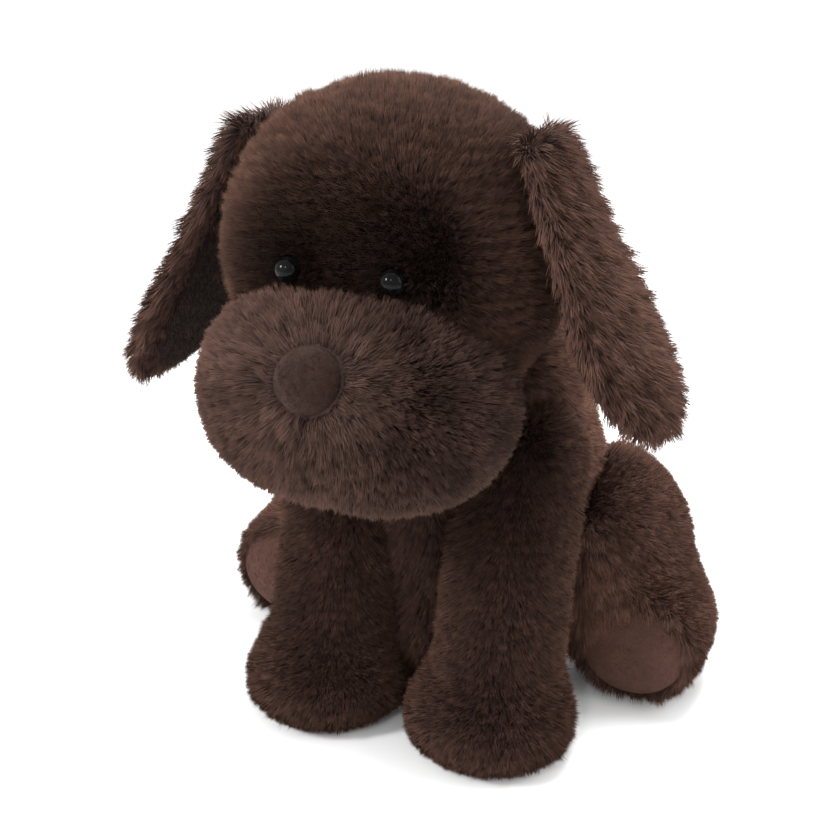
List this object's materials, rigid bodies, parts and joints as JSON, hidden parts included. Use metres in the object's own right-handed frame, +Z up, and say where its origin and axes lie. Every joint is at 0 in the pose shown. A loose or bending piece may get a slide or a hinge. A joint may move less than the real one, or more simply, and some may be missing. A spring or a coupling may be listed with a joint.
{
  "type": "plush dog",
  "caption": "Sitting plush dog in dark brown long-pile fabric, with a round head, a large muzzle, hanging ears, upright forelegs, forward-facing hind feet and a short tail.",
  "frame": {"origin": "on the ground, at the middle of the whole dog's length and width", "axes": "+Z up, the dog faces -Y, its left side is +X"},
  "size_m": [0.224, 0.26, 0.265],
  "materials": {
    "fur": "dense dark brown pile, paler at the tips",
    "velvet": "short dark brown velvet",
    "suede": "short red-brown pile",
    "eye_plastic": "glossy black",
    "washer_plastic": "milky plastic, hidden",
    "fibre_fill": "white polyester fibre, hidden"
  },
  "bodies": {
    "torso": {"body_side_left": "fur", "body_side_right": "fur", "seat_panel": "fur", "body_stuffing": "fibre_fill"},
    "neck": {"neck_stuffing": "fibre_fill"},
    "head": {"crown_panel": "fur", "head_side_left": "fur", "head_side_right": "fur", "head_stuffing": "fibre_fill", "muzzle_left": "fur", "muzzle_right": "fur", "muzzle_stuffing": "fibre_fill", "nose_cover": "suede", "nose_stuffing": "fibre_fill", "eye_left": "eye_plastic", "eye_right": "eye_plastic", "eye_washer_left": "washer_plastic", "eye_washer_right": "washer_plastic"},
    "ear_left": {"ear_outer_left": "fur", "ear_lining_left": "velvet"},
    "ear_right": {"ear_outer_right": "fur", "ear_lining_right": "velvet"},
    "foreleg_left": {"foreleg_cover_left": "fur", "foreleg_stuffing_left": "fibre_fill"},
    "foreleg_right": {"foreleg_cover_right": "fur", "foreleg_stuffing_right": "fibre_fill"},
    "hindleg_left": {"hindleg_cover_left": "fur", "hindleg_stuffing_left": "fibre_fill", "sole_left": "suede"},
    "hindleg_right": {"hindleg_cover_right": "fur", "hindleg_stuffing_right": "fibre_fill", "sole_right": "suede"},
    "tail": {"tail_cover": "fur", "tail_stuffing": "fibre_fill"}
  },
  "joints": [
    {"name": "neck_turn", "type": "hinge", "parent": "torso", "child": "neck", "pos_m": [0, -0.048, 0.205], "axis": [0, -0.6221, 0.783], "range_deg": [-25, 25], "stiffness_Nm_per_rad": 0.4},
    {"name": "head_nod", "type": "hinge", "parent": "neck", "child": "head", "pos_m": [0, -0.048, 0.205], "axis": [1, 0, 0], "range_deg": [-15, 10], "stiffness_Nm_per_rad": 0.5},
    {"name": "tail_wag", "type": "hinge", "parent": "torso", "child": "tail", "pos_m": [0, 0.066, 0.064], "axis": [0, 0, 1], "range_deg": [-30, 30], "stiffness_Nm_per_rad": 0.02},
    {"name": "ear_left_lift", "type": "hinge", "parent": "head", "child": "ear_left", "pos_m": [0.053, -0.05, 0.245], "axis": [0, -1, 0], "range_deg": [-2, 100], "stiffness_Nm_per_rad": 0.03},
    {"name": "foreleg_left_swing", "type": "hinge", "parent": "torso", "child": "foreleg_left", "pos_m": [0.037, -0.012, 0.116], "axis": [-1, 0, 0], "range_deg": [0, 45], "stiffness_Nm_per_rad": 0.2},
    {"name": "hindleg_left_lift", "type": "hinge", "parent": "torso", "child": "hindleg_left", "pos_m": [0.0505, 0.036, 0.052], "axis": [-1, 0, 0], "range_deg": [0, 50], "stiffness_Nm_per_rad": 0.2},
    {"name": "ear_right_lift", "type": "hinge", "parent": "head", "child": "ear_right", "pos_m": [-0.053, -0.05, 0.245], "axis": [0, 1, 0], "range_deg": [-2, 100], "stiffness_Nm_per_rad": 0.03},
    {"name": "foreleg_right_swing", "type": "hinge", "parent": "torso", "child": "foreleg_right", "pos_m": [-0.037, -0.012, 0.116], "axis": [-1, 0, 0], "range_deg": [0, 45], "stiffness_Nm_per_rad": 0.2},
    {"name": "hindleg_right_lift", "type": "hinge", "parent": "torso", "child": "hindleg_right", "pos_m": [-0.0505, 0.036, 0.052], "axis": [-1, 0, 0], "range_deg": [0, 50], "stiffness_Nm_per_rad": 0.2}
  ]
}
